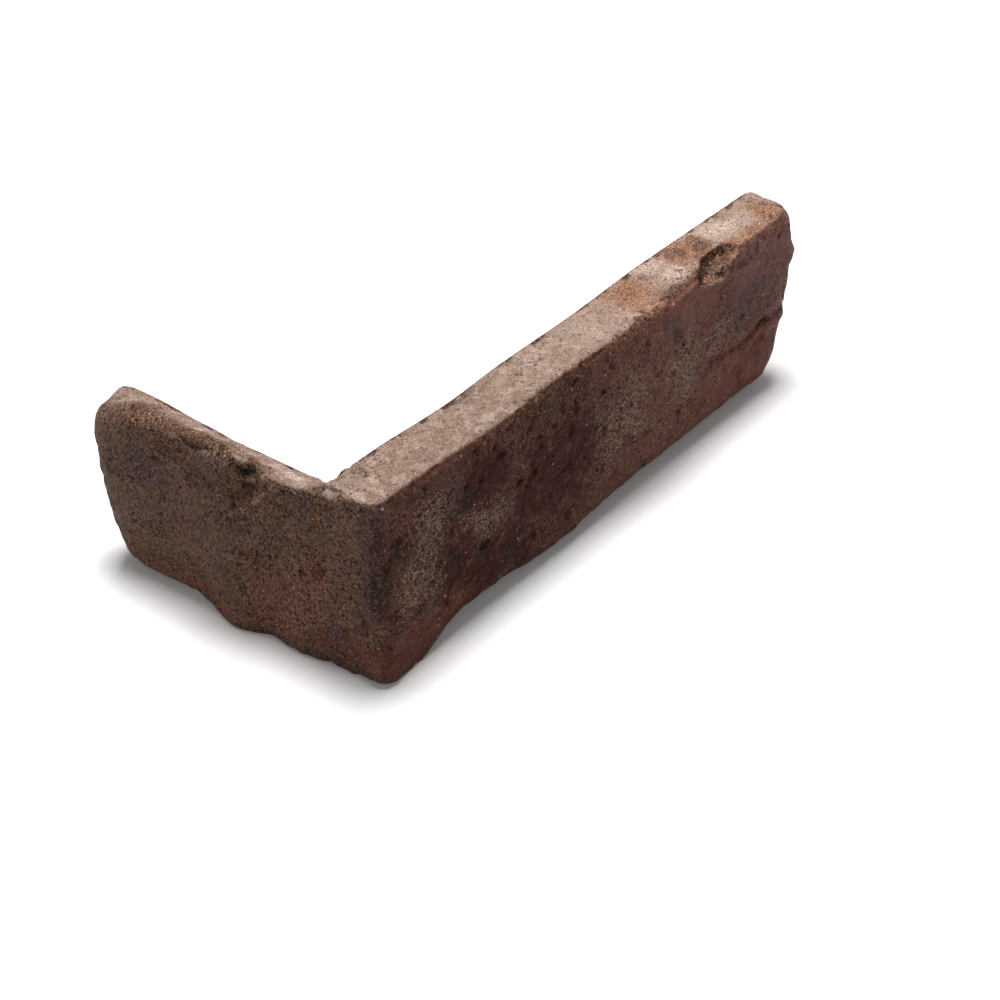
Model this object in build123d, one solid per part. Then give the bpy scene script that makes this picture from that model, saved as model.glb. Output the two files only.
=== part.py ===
from build123d import *
import os
from math import ceil, cos, pi, radians, sin, sqrt

# A thin brick corner: the L-shaped slip that two saw cuts leave of one hand-made brick.
# The long leg runs along +X and the short leg along +Y from the outer corner, and the bed lies on Z = 0.
# Everything is in millimetres. Places along a leg are measured from the outer corner.

# Overall sizes, at half height
LONG_LEG_LENGTH = 194.5
SHORT_LEG_LENGTH = 101.7
CORNER_HEIGHT = 59.0

# Sawn thickness of each leg at the corner. The header face of a hand-made brick isn't square
# to its side, so the short leg gets thicker towards its free end.
LONG_LEG_THICKNESS = 17.5
SHORT_LEG_THICKNESS = 10.5
HEADER_SKEW = 4.0

# The free ends lean out towards the top
SHORT_END_LEAN = 8.0
LONG_END_LEAN = 10.0
LEAN_REACH = 45.0

# Rounding of the vertical outer corner and of the free ends
CORNER_RADIUS = 5.0
END_RADIUS = 9.0
END_ROUNDING_DEPTH = 5.0

# How far each free end's rounding brings down the outer and the inner side of the top, and
# brings up the bed
SHORT_END_OUTER_DROP, SHORT_END_INNER_DROP, SHORT_END_BED_RISE = 5.0, 3.5, 5.0
LONG_END_OUTER_DROP, LONG_END_INNER_DROP, LONG_END_BED_RISE = 9.0, 3.0, 9.0

# The two outer arrises where they are least worn, and the slight bow of the faces between them
BED_ARRIS_WIDTH = 3.0
BED_ARRIS_HEIGHT = 4.0
TOP_ARRIS_WIDTH = 3.0
TOP_ARRIS_HEIGHT = 4.0
FACE_BOW = 0.8

# Waste that the saw takes off, under the bed and inside the L, and where the waste itself ends
BED_WASTE = 1.0
SAW_WASTE = 10.0
WASTE_EDGE = 4.0

# The short leg's top. The saw runs through the sloping side of the frog, so the inner edge is low.
FROG_START, FROG_END, FROG_DEPTH = 15.0, 28.0, 8.8
FROG_RISE_START, FROG_RISE_END, FROG_RISE = 60.0, 90.0, 2.2
OUTER_FALL_START, OUTER_FALL_END, OUTER_FALL = 10.0, 29.0, 3.2
END_FALL_START, END_FALL_END, END_FALL = 82.0, 98.0, 4.5
BREAK_PLACE, BREAK_REACH, BREAK_DEPTH = 31.0, 16.0, 2.0
FOLD_PLACE, FOLD_REACH, FOLD_HEIGHT = 58.0, 19.0, 2.2
ROLL_START, ROLL_END, ROLL_WIDTH, ROLL_HEIGHT = 66.0, 94.0, 4.5, 5.5

# The short leg's bed arris is broken away towards the free end
BREAK_OFF_START, BREAK_OFF_END, BREAK_OFF_WIDTH, BREAK_OFF_HEIGHT = 57.0, 73.0, 6.0, 6.0

# The lip of clay along the short leg's bed, the toe beside it, and the swelling of the face above
LIP_PLACE, LIP_REACH, LIP_DEPTH = 50.0, 14.0, 2.3
TOE_PLACE, TOE_REACH, TOE_DEPTH = 29.0, 13.0, 1.6
SWELL_PLACE, SWELL_REACH, SWELL_DEPTH = 54.0, 15.0, 1.0

# The long leg's top sags beside the corner and rises towards its free end
SAG_PLACE, SAG_REACH, SAG_DEPTH = 48.0, 28.0, 1.0
SAG_WEAR = 1.2
RISE_START, RISE_END, RISE_HEIGHT = 98.0, 140.0, 1.4
SHOULDER_REACH, SHOULDER_WIDTH, SHOULDER_HEIGHT = 18.0, 4.0, 10.0

# The long leg's bed arris is worn away past the corner, and less so in the middle
BED_WEAR_START, BED_WEAR_END, BED_WEAR_WIDTH, BED_WEAR_HEIGHT = 12.0, 36.0, 11.0, 14.0
SPARED_PLACE, SPARED_REACH, SPARED_WIDTH, SPARED_HEIGHT = 78.0, 32.0, 5.0, 6.0

# The swelling of the long face beside the chip
CHEEK_PLACE, CHEEK_REACH, CHEEK_DEPTH = 124.0, 34.0, 1.8

# The chip in the long leg's upper arris
CHIP_PLACE = 151.0
CHIP_LENGTH = 30.0
CHIP_WIDTH = 16.0
CHIP_DEPTH = 7.5

# How closely the sections stand along each leg, the angles at which they fan round the outer
# corner, between which of them one leg's form and the frog go over into the other leg's, and how
# far they turn round a free end
SECTION_SPACING = 8.5
FAN_ANGLES = (16, 30, 40, 50, 60, 74)
FORM_FAN = (20, 70)
FROG_FAN = (14, 50)
END_TURNS = (30, 55, 75, 90)


def bump(distance, place, reach):
    """A smooth rise from 0 to 1 at place, and back to 0 at reach on each side of it."""
    offset = abs(distance - place) / reach
    return 0.5 + 0.5 * cos(pi * offset) if offset < 1 else 0.0


def ramp(distance, start, end):
    """A smooth rise from 0 at start to 1 at end."""
    share = min(max((distance - start) / (end - start), 0.0), 1.0)
    return share * share * (3 - 2 * share)


def between(first, second, share):
    """The values that lie this share of the way from the first ones to the second."""
    return [a + (b - a) * share for a, b in zip(first, second)]


def short_form(y):
    """The short leg's form at y: inner and outer top, top arris, bed arris, lip and swelling."""
    broken = bump(y, BREAK_PLACE, BREAK_REACH)
    rolled = ramp(y, ROLL_START, ROLL_END)
    inside = CORNER_HEIGHT - FROG_DEPTH * ramp(y, FROG_START, FROG_END)
    inside += FROG_RISE * ramp(y, FROG_RISE_START, FROG_RISE_END)
    outside = CORNER_HEIGHT - OUTER_FALL * ramp(y, OUTER_FALL_START, OUTER_FALL_END)
    outside += FOLD_HEIGHT * bump(y, FOLD_PLACE, FOLD_REACH) - BREAK_DEPTH * broken
    outside -= END_FALL * ramp(y, END_FALL_START, END_FALL_END)
    top_width = TOP_ARRIS_WIDTH + ROLL_WIDTH * rolled
    top_height = TOP_ARRIS_HEIGHT + ROLL_HEIGHT * rolled + BREAK_DEPTH * broken
    broken_off = ramp(y, BREAK_OFF_START, BREAK_OFF_END)
    bed_width = BED_ARRIS_WIDTH + BREAK_OFF_WIDTH * broken_off
    bed_height = BED_ARRIS_HEIGHT + BREAK_OFF_HEIGHT * broken_off
    lip = LIP_DEPTH * bump(y, LIP_PLACE, LIP_REACH) + TOE_DEPTH * bump(y, TOE_PLACE, TOE_REACH)
    swelling = SWELL_DEPTH * bump(y, SWELL_PLACE, SWELL_REACH)
    return [inside, outside, top_width, top_height, bed_width, bed_height, lip, swelling]


def long_form(x):
    """The long leg's form at x: inner and outer top, top arris, bed arris, lip and swelling."""
    sagging = bump(x, SAG_PLACE, SAG_REACH)
    shoulder = ramp(x, LONG_LEG_LENGTH - SHOULDER_REACH, LONG_LEG_LENGTH)
    top = CORNER_HEIGHT - SAG_DEPTH * sagging + RISE_HEIGHT * ramp(x, RISE_START, RISE_END)
    top_width = TOP_ARRIS_WIDTH + SAG_WEAR * sagging + SHOULDER_WIDTH * shoulder
    top_height = TOP_ARRIS_HEIGHT + SAG_WEAR * sagging + SHOULDER_HEIGHT * shoulder
    worn = ramp(x, BED_WEAR_START, BED_WEAR_END)
    spared = bump(x, SPARED_PLACE, SPARED_REACH)
    bed_width = BED_ARRIS_WIDTH + BED_WEAR_WIDTH * worn - SPARED_WIDTH * spared
    bed_height = BED_ARRIS_HEIGHT + BED_WEAR_HEIGHT * worn - SPARED_HEIGHT * spared
    # The face swells here, and its foot stays in line
    swelling = CHEEK_DEPTH * bump(x, CHEEK_PLACE, CHEEK_REACH)
    return [top, top, top_width, top_height, bed_width, bed_height, -swelling, swelling]


def section(pivot, outward, reach, form, lean=Vector(0, 0, 0), rounding=0.0, moves=(0.0, 0.0, 0.0)):
    """One closed upright section of the brick, from pivot towards outward.

    reach is the distance from pivot to the outer face, and form what short_form or long_form
    gives. At a free end, lean is the tilt along the leg, rounding the share of its quarter-round,
    and moves how far the whole of that brings the outer and inner top down and the bed up.
    """
    outer_drop, inner_drop, bed_rise = moves
    inside, outside, top_width, top_height, bed_width, bed_height, lip, swelling = form
    face = reach + swelling - END_ROUNDING_DEPTH * rounding
    low = bed_rise * rounding - BED_WASTE
    high = outside - outer_drop * rounding

    def point(out, z):
        return pivot + outward * out + Vector(0, 0, z) + lean * (z / CORNER_HEIGHT - 0.5)

    # The top slopes straight down past the sawn edge, whose height inside gives
    fall = (outside - inside) / (face - top_width - SAW_WASTE)
    inner_low = point(WASTE_EDGE, low)
    inner_high = point(WASTE_EDGE, inside - fall * (SAW_WASTE - WASTE_EDGE) - inner_drop * rounding)
    bed_edge = point(face + lip - bed_width, low)
    face_low = point(face + lip, low + bed_height)
    face_high = point(face, high - top_height)
    top_edge = point(face - top_width, high)
    third = (high - top_height - low - bed_height) / 3
    bow_low = point(face + lip * 2 / 3 + FACE_BOW, low + bed_height + third)
    bow_high = point(face + lip / 3 + FACE_BOW, high - top_height - third)
    return Wire(
        [
            Edge.make_line(inner_low, bed_edge),
            Edge.make_bezier(bed_edge, point(face + lip, low), face_low),
            Edge.make_bezier(face_low, bow_low, bow_high, face_high),
            Edge.make_bezier(face_high, point(face, high), top_edge),
            Edge.make_line(top_edge, inner_high),
            Edge.make_line(inner_high, inner_low),
        ]
    )


# The sections fan round this upright line, which lies in the waste inside the L
PIVOT = Vector(SHORT_LEG_THICKNESS + SAW_WASTE, LONG_LEG_THICKNESS + SAW_WASTE, 0)
HEADER_SLOPE = HEADER_SKEW / SHORT_LEG_LENGTH


def end_rounding(to_end):
    """How far the quarter-round of a free end stands back, as a share of its depth."""
    left = max(1 - to_end / END_RADIUS, 0.0)
    return 1 - sqrt(1 - left**2)


def end_lean(to_end):
    """How much of its lean a free end has at this distance from it."""
    return max(1 - to_end / LEAN_REACH, 0.0)


def short_section(y):
    """The section of the short leg at y."""
    to_end = SHORT_LEG_LENGTH - y
    lean = Vector(0, SHORT_END_LEAN * end_lean(to_end), 0)
    reach = PIVOT.X + HEADER_SLOPE * y
    moves = SHORT_END_OUTER_DROP, SHORT_END_INNER_DROP, SHORT_END_BED_RISE
    pivot, outward = Vector(PIVOT.X, y, 0), Vector(-1, 0, 0)
    return section(pivot, outward, reach, short_form(y), lean, end_rounding(to_end), moves)


def long_section(x):
    """The section of the long leg at x."""
    to_end = LONG_LEG_LENGTH - x
    lean = Vector(LONG_END_LEAN * end_lean(to_end), 0, 0)
    moves = LONG_END_OUTER_DROP, LONG_END_INNER_DROP, LONG_END_BED_RISE
    pivot, outward = Vector(x, PIVOT.Y, 0), Vector(0, -1, 0)
    return section(pivot, outward, PIVOT.Y, long_form(x), lean, end_rounding(to_end), moves)


def corner_section(angle):
    """A section fanned round the outer corner: 0 meets the header face squarely, 90 the long face."""
    outward = Vector(-cos(radians(angle)), -sin(radians(angle)), 0)
    # To the sharp corner of the two faces
    to_header = (PIVOT.X + HEADER_SLOPE * PIVOT.Y) / (-outward.X - HEADER_SLOPE * outward.Y)
    to_side = PIVOT.Y / -outward.Y
    reach = min(to_header, to_side)
    # To the arc that rounds it, where the line meets the arc
    centre = Vector(CORNER_RADIUS, CORNER_RADIUS, 0) - PIVOT
    along = centre.dot(outward)
    beside = centre.dot(centre) - along**2
    meets = PIVOT + outward * reach
    if max(meets.X, meets.Y) < CORNER_RADIUS and beside < CORNER_RADIUS**2:
        reach = along + sqrt(CORNER_RADIUS**2 - beside)
        meets = PIVOT + outward * reach
    short, long = short_form(max(meets.Y, 0.0)), long_form(max(meets.X, 0.0))
    form = between(short, long, ramp(angle, *FORM_FAN))
    # The inner edge comes up to full height at the corner of the two saw cuts
    low_edge = short_form(PIVOT.Y)[0]
    form[0] = low_edge + (CORNER_HEIGHT - low_edge) * ramp(angle, *FROG_FAN)
    return section(PIVOT, outward, reach, form)


def stations(start, length):
    """Places of the sections along a leg, from its straight start to its rounded free end."""
    straight_end = length - END_RADIUS
    count = max(ceil((straight_end - start) / SECTION_SPACING), 2)
    straight = [start + (straight_end - start) * i / count for i in range(count + 1)]
    rounded = [straight_end + END_RADIUS * sin(radians(turn)) for turn in END_TURNS]
    return straight + rounded


def moulded_brick():
    """The two sides of the fired brick that make the corner, before it is sawn."""
    short = [short_section(y) for y in reversed(stations(PIVOT.Y, SHORT_LEG_LENGTH))]
    fan = [corner_section(angle) for angle in FAN_ANGLES]
    long = [long_section(x) for x in stations(PIVOT.X, LONG_LEG_LENGTH)]
    return Solid.make_loft(short + fan + long)


def bed_skin():
    """The skin under the bed, which comes off flat."""
    margin = 2 * SAW_WASTE
    size = LONG_LEG_LENGTH + 2 * margin, SHORT_LEG_LENGTH + 2 * margin, margin
    return Pos(-margin, -margin, 0) * Box(*size, align=(Align.MIN, Align.MIN, Align.MAX))


def inner_waste():
    """The waste inside the L, which the two saw cuts free."""
    margin = 2 * SAW_WASTE
    size = LONG_LEG_LENGTH + margin, SHORT_LEG_LENGTH + margin, CORNER_HEIGHT + 2 * margin
    return Pos(SHORT_LEG_THICKNESS, LONG_LEG_THICKNESS, -margin) * Box(*size, align=Align.MIN)


def arris_chip():
    """The shallow chip out of the long leg's upper arris."""
    hollow = scale(Sphere(1), by=(CHIP_LENGTH / 2, CHIP_WIDTH / 2, CHIP_DEPTH))
    return Pos(CHIP_PLACE, 0, CORNER_HEIGHT + RISE_HEIGHT) * hollow


brick = moulded_brick() - bed_skin() - inner_waste() - arris_chip()

# The part's origin is the middle of its box, at the bed
span = brick.bounding_box()
brick_corner = Pos(-span.center().X, -span.center().Y, 0) * brick

os.makedirs("parts", exist_ok=True)
export_step(brick_corner, "parts/brick_corner.step")
print("low corner", span.min, "high corner", span.max)
print("volume", brick_corner.volume, "valid", brick_corner.is_valid)
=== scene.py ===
"""Dresses the thin brick corner: worn sanded faces outside, sawn faces inside, floor, light and camera."""

import logging
from dataclasses import dataclass, fields
from enum import Enum
from math import radians

import bpy
import numpy as np
from mathutils import Matrix, Vector


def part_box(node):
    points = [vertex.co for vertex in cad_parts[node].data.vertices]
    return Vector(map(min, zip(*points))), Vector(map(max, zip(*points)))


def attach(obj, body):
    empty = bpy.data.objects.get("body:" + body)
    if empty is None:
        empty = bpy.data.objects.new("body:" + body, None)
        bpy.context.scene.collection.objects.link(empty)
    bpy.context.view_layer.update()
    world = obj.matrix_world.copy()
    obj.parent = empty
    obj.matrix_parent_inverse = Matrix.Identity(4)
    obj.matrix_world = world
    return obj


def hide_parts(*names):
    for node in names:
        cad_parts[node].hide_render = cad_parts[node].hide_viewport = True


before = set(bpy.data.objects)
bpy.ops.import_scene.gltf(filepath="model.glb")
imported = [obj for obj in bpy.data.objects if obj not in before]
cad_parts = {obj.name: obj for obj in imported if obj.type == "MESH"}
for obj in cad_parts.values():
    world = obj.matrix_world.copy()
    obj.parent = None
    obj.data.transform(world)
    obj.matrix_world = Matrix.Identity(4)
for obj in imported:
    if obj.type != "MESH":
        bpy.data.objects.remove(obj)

LOG = logging.getLogger("brick_corner")
NODE = "brick_corner"

# Metres in one millimetre: shapes are worked out in millimetres
MM = 0.001

# An input or output of a node
Socket = bpy.types.NodeSocket

# Millimetres within which a point counts as on a saw cut, and the least length of a normal
ON_CUT = 1e-6
LEAST = 1e-9


@dataclass(frozen=True)
class Swell:
    """A smooth hump along a line: nothing at reach on each side of place, and amount at place."""

    place: float
    reach: float
    amount: float

    def at(self, distance: np.ndarray) -> np.ndarray:
        """Amount times half of one plus the cosine of the offset, inside the reach."""
        offset = np.clip(np.abs(distance - self.place) / self.reach, 0.0, 1.0)
        return self.amount * (0.5 + 0.5 * np.cos(np.pi * offset))


@dataclass(frozen=True)
class Slope:
    """A smooth change along a line: nothing before start, and amount from end on."""

    start: float
    end: float
    amount: float = 1.0

    def at(self, distance: np.ndarray) -> np.ndarray:
        """Amount times the smooth step 3 s^2 - 2 s^3 of the share s of the way from start to end."""
        share = np.clip((distance - self.start) / (self.end - self.start), 0.0, 1.0)
        return self.amount * share * share * (3.0 - 2.0 * share)


@dataclass(frozen=True)
class Spot:
    """A soft-edged oval on a flattened face, turned by an angle."""

    place: tuple[float, float]
    reach: tuple[float, float]
    turn: float = 0.0

    def at(self, along: np.ndarray, up: np.ndarray) -> np.ndarray:
        """One at the middle, and nothing from the rim of the oval on, as a cosine between.

        Args:
            along: distance along the face, in millimetres.
            up: distance across the face, in millimetres.

        Returns:
            The share from 0 to 1 at each point.
        """
        angle = radians(self.turn)
        across, rise = along - self.place[0], up - self.place[1]
        first = (across * np.cos(angle) + rise * np.sin(angle)) / self.reach[0]
        second = (rise * np.cos(angle) - across * np.sin(angle)) / self.reach[1]
        offset = np.clip(np.hypot(first, second), 0.0, 1.0)
        return 0.5 + 0.5 * np.cos(np.pi * offset)


def spots(*rows: tuple[float, ...]) -> tuple[Spot, ...]:
    """Ovals, each from its place, its reach and, where it is turned, its angle in degrees."""
    return tuple(Spot(row[:2], row[2:4], *row[4:]) for row in rows)


class Grain:
    """Smooth random values in space: seeded numbers on a lattice, eased between its points."""

    LATTICE = 64

    def __init__(self, seed: int) -> None:
        """Draws the lattice of numbers from -1 to 1."""
        shape = (self.LATTICE,) * 3
        self.numbers = np.random.default_rng(seed).uniform(-1.0, 1.0, shape)

    def at(self, points: np.ndarray, size: float) -> np.ndarray:
        """The value at each point, from the eight lattice points round it.

        Args:
            points: places in millimetres, three in the last axis.
            size: distance between lattice points, in millimetres.

        Returns:
            Values from -1 to 1, one a point.
        """
        scaled = points / size
        cell = np.floor(scaled).astype(int)
        share = scaled - cell
        share = share * share * (3.0 - 2.0 * share)
        total = np.zeros(points.shape[:-1])
        for corner in np.ndindex(2, 2, 2):
            index = tuple(np.moveaxis((cell + corner) % self.LATTICE, -1, 0))
            weight = np.prod(np.where(corner, share, 1.0 - share), axis=-1)
            total += self.numbers[index] * weight
        return total

    def rough(self, points: np.ndarray, size: float, octaves: int) -> np.ndarray:
        """A sum of octaves, each half as large and half as strong as the one before."""
        return sum(self.at(points, size / 2**i) / 2**i for i in range(octaves))


@dataclass
class Form:
    """What a section looks like at each place along the corner, in millimetres."""

    inside: np.ndarray
    outside: np.ndarray
    top_width: np.ndarray
    top_height: np.ndarray
    bed_width: np.ndarray
    bed_height: np.ndarray
    lip: np.ndarray
    swelling: np.ndarray

    def mixed(self, other: "Form", share: np.ndarray) -> "Form":
        """Each value that share of the way from this form's to the other's."""
        pairs = [(getattr(self, f.name), getattr(other, f.name)) for f in fields(self)]
        return Form(*[first + (second - first) * share for first, second in pairs])

    def joined(self, *others: "Form") -> "Form":
        """This form followed by the others, end to end."""
        forms = (self, *others)
        return Form(*[np.concatenate([getattr(g, f.name) for g in forms]) for f in fields(self)])


@dataclass
class Stations:
    """Where the sections stand: one entry a section, from the short free end to the long one."""

    foot: np.ndarray
    outward: np.ndarray
    reach: np.ndarray
    lean: np.ndarray
    bulge: np.ndarray
    moves: np.ndarray
    stand_back: np.ndarray
    form: Form


@dataclass(frozen=True)
class CornerSizes:
    """Sizes of the corner in millimetres, with places along each leg from the outer corner.

    The end moves are how far a free end's rounding brings the outer top and the inner top down,
    and the bed up. The corner blend is the degrees over which one leg's form becomes the other's.
    """

    long_leg: float = 194.5
    short_leg: float = 101.7
    height: float = 59.0
    long_thickness: float = 17.5
    short_thickness: float = 10.5
    header_skew: float = 4.0
    short_end_lean: float = 8.0
    long_end_lean: float = 10.0
    lean_reach: float = 45.0
    short_end_bulge: float = 1.4
    corner_radius: float = 5.0
    end_radius: float = 9.0
    end_depth: float = 5.0
    short_end_moves: tuple[float, float, float] = (5.0, 3.5, 5.0)
    long_end_moves: tuple[float, float, float] = (9.0, 3.0, 9.0)
    corner_blend: Slope = Slope(20.0, 70.0)
    arris_width: float = 3.0
    arris_height: float = 4.0
    face_bow: float = 0.8
    bed_waste: float = 1.0
    saw_waste: float = 10.0
    waste_edge: float = 4.0


@dataclass(frozen=True)
class ShortLegWear:
    """How the short leg's section changes along it."""

    frog: Slope = Slope(15.0, 28.0, -8.8)
    frog_rise: Slope = Slope(60.0, 90.0, 2.2)
    frog_fan: Slope = Slope(14.0, 50.0)
    fall: Slope = Slope(10.0, 29.0, -3.2)
    end_fall: Slope = Slope(82.0, 98.0, -4.5)
    fold: Swell = Swell(58.0, 19.0, 2.2)
    broken: Swell = Swell(31.0, 16.0, 2.0)
    roll_width: Slope = Slope(66.0, 94.0, 4.5)
    roll_height: Slope = Slope(66.0, 94.0, 5.5)
    bed_width: Slope = Slope(57.0, 73.0, 6.0)
    bed_height: Slope = Slope(57.0, 73.0, 6.0)
    lip: Swell = Swell(50.0, 14.0, 2.3)
    toe: Swell = Swell(29.0, 13.0, 1.6)
    swell: Swell = Swell(54.0, 15.0, 1.0)


@dataclass(frozen=True)
class LongLegWear:
    """How the long leg's section changes along it."""

    sag: Swell = Swell(48.0, 28.0, -1.0)
    sag_wear: Swell = Swell(48.0, 28.0, 1.2)
    rise: Slope = Slope(98.0, 140.0, 1.4)
    shoulder_reach: float = 18.0
    shoulder_width: float = 4.0
    shoulder_height: float = 10.0
    bed_width: Slope = Slope(12.0, 36.0, 11.0)
    bed_height: Slope = Slope(12.0, 36.0, 14.0)
    spared_width: Swell = Swell(78.0, 32.0, -5.0)
    spared_height: Swell = Swell(78.0, 32.0, -6.0)
    cheek: Swell = Swell(124.0, 34.0, 1.8)


@dataclass(frozen=True)
class Chip:
    """The shallow chip out of the long leg's upper arris, a part of an ellipsoid."""

    centre: tuple[float, float, float] = (152.5, 0.0, 60.4)
    half: tuple[float, float, float] = (12.5, 4.6, 5.8)
    inward: tuple[float, float, float] = (0.0, 0.7071, -0.7071)
    jitter: float = 2.5
    jitter_size: float = 6.0
    jitter_shifts: tuple[float, float, float] = (0.0, 40.0, 80.0)
    grain: Grain = Grain(13)

    def depth(self, points: np.ndarray) -> np.ndarray:
        """How far each point goes along inward to the ellipsoid's far side, nothing outside it.

        With q the point from the centre, d the way inward, and both divided by the half sizes,
        that distance t solves |q + t d| = 1. Noise shifts the points first, so the rim is ragged.

        Args:
            points: places in millimetres.

        Returns:
            Millimetres, one a point.
        """
        noises = [self.grain.at(points + shift, self.jitter_size) for shift in self.jitter_shifts]
        ragged = np.stack(noises, -1)
        q = (points + self.jitter * ragged - np.array(self.centre)) / np.array(self.half)
        d = np.array(self.inward) / np.array(self.half)
        square, both, offset = d @ d, q @ d, (q * q).sum(axis=-1) - 1.0
        root = np.sqrt(np.clip(both**2 - square * offset, 0.0, None))
        return np.where(offset < 0.0, (root - both) / square, 0.0)


@dataclass(frozen=True)
class MeshCounts:
    """How many points the surface has along and round the corner."""

    short_leg: int = 124
    fan: int = 84
    long_leg: int = 276
    cap: int = 14
    inner: int = 24
    bed: int = 12
    bed_arris: int = 12
    face: int = 80
    top_arris: int = 16
    top: int = 30


class Side(Enum):
    """The kinds of face that a point of the section lies on."""

    SAWN = 0
    BED = 1
    WORN = 2
    TOP = 3


@dataclass
class Skin:
    """The worn surface: its points, the smooth normals under them, the Side of each, and how far
    the relief moved it and the chip pushed it in."""

    points: np.ndarray
    normal: np.ndarray
    kinds: np.ndarray
    relief: np.ndarray
    chipped: np.ndarray


class BrickCorner:
    """The L of fired clay: its moulded and worn faces outside, and the two sawn faces inside."""

    def __init__(
        self, sizes: CornerSizes, short: ShortLegWear, long: LongLegWear, chip: Chip, counts: MeshCounts
    ) -> None:
        """Keeps the sizes, and works out the upright line that the sections fan round.

        Args:
            sizes: the corner's own sizes.
            short: how the short leg's section changes.
            long: how the long leg's section changes.
            chip: the chip in the upper arris.
            counts: how fine the surface is.
        """
        self.sizes = sizes
        self.short = short
        self.long = long
        self.chip = chip
        self.counts = counts
        self.pivot = np.array([sizes.short_thickness, sizes.long_thickness]) + sizes.saw_waste
        self.header_slope = sizes.header_skew / sizes.short_leg

    def seat(self) -> np.ndarray:
        """Seats the corner: the lowest x and y of its unworn surface meet those of the CAD node's box.

        Returns:
            Where the outer corner's foot is in the part's frame, in metres.
        """
        smooth, _ = self.smooth_grid()
        lowest = np.array([smooth[..., 0].min(), smooth[..., 1].min(), 0.0])
        return np.array(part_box(NODE)[0]) - lowest * MM

    def short_form(self, y: np.ndarray) -> Form:
        """What the short leg's sections look like.

        Args:
            y: distances from the outer corner.

        Returns:
            The form at each.
        """
        size, wear = self.sizes, self.short
        broken = wear.broken.at(y)
        return Form(
            inside=size.height + wear.frog.at(y) + wear.frog_rise.at(y),
            outside=size.height + wear.fall.at(y) + wear.fold.at(y) + wear.end_fall.at(y) - broken,
            top_width=size.arris_width + wear.roll_width.at(y),
            top_height=size.arris_height + wear.roll_height.at(y) + broken,
            bed_width=size.arris_width + wear.bed_width.at(y),
            bed_height=size.arris_height + wear.bed_height.at(y),
            lip=wear.lip.at(y) + wear.toe.at(y),
            swelling=wear.swell.at(y),
        )

    def long_form(self, x: np.ndarray) -> Form:
        """What the long leg's sections look like.

        Args:
            x: distances from the outer corner.

        Returns:
            The form at each.
        """
        size, wear = self.sizes, self.long
        top = size.height + wear.sag.at(x) + wear.rise.at(x)
        worn = wear.sag_wear.at(x)
        shoulder = Slope(size.long_leg - wear.shoulder_reach, size.long_leg).at(x)
        cheek = wear.cheek.at(x)
        return Form(
            inside=top,
            outside=top,
            top_width=size.arris_width + worn + wear.shoulder_width * shoulder,
            top_height=size.arris_height + worn + wear.shoulder_height * shoulder,
            bed_width=size.arris_width + wear.bed_width.at(x) + wear.spared_width.at(x),
            bed_height=size.arris_height + wear.bed_height.at(x) + wear.spared_height.at(x),
            lip=-cheek,
            swelling=cheek,
        )

    def end_rounding(self, to_end: np.ndarray) -> np.ndarray:
        """How far the quarter-round of a free end stands back, as a share of its depth."""
        left = np.clip(1.0 - to_end / self.sizes.end_radius, 0.0, 1.0)
        return 1.0 - np.sqrt(1.0 - left**2)

    def places(self, start: float, length: float, count: int) -> np.ndarray:
        """Places of the sections along a leg: even steps, then even turns round the free end.

        Args:
            start: where the leg's straight stretch starts.
            length: the leg's length.
            count: how many sections the leg has.

        Returns:
            Distances from the outer corner, from start to length.
        """
        radius = self.sizes.end_radius
        straight = length - radius - start
        turns = round(count * radius * np.pi / 2 / (straight + radius * np.pi / 2))
        even = np.linspace(start, length - radius, count - turns)
        turn = np.linspace(0.0, np.pi / 2, turns + 1)[1:]
        return np.concatenate([even, length - radius + radius * np.sin(turn)])

    def leg_stations(self, axis: int) -> Stations:
        """The sections of a leg, the short leg's from its free end and the long leg's towards it.

        Args:
            axis: the axis that the leg runs along: 0 for the long leg and 1 for the short one.

        Returns:
            The leg's sections.
        """
        size, counts = self.sizes, self.counts
        length, count = ((size.long_leg, counts.long_leg), (size.short_leg, counts.short_leg))[axis]
        lean, bulge = ((size.long_end_lean, 0.0), (size.short_end_lean, size.short_end_bulge))[axis]
        moves, slope = ((size.long_end_moves, 0.0), (size.short_end_moves, self.header_slope))[axis]
        place = self.places(self.pivot[axis], length, count)[:: -1 if axis else 1]
        way = np.eye(2)[axis]
        to_end = length - place
        share = np.clip(1.0 - to_end / size.lean_reach, 0.0, None)
        return Stations(
            foot=self.pivot * (1.0 - way) + np.outer(place, way),
            outward=np.tile(way - 1.0, (count, 1)),
            reach=self.pivot[1 - axis] + slope * place,
            lean=np.outer(lean * share, way),
            bulge=np.outer(bulge * share, way),
            moves=np.outer(self.end_rounding(to_end), moves),
            stand_back=size.end_depth * self.end_rounding(to_end),
            form=(self.long_form, self.short_form)[axis](place),
        )

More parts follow.
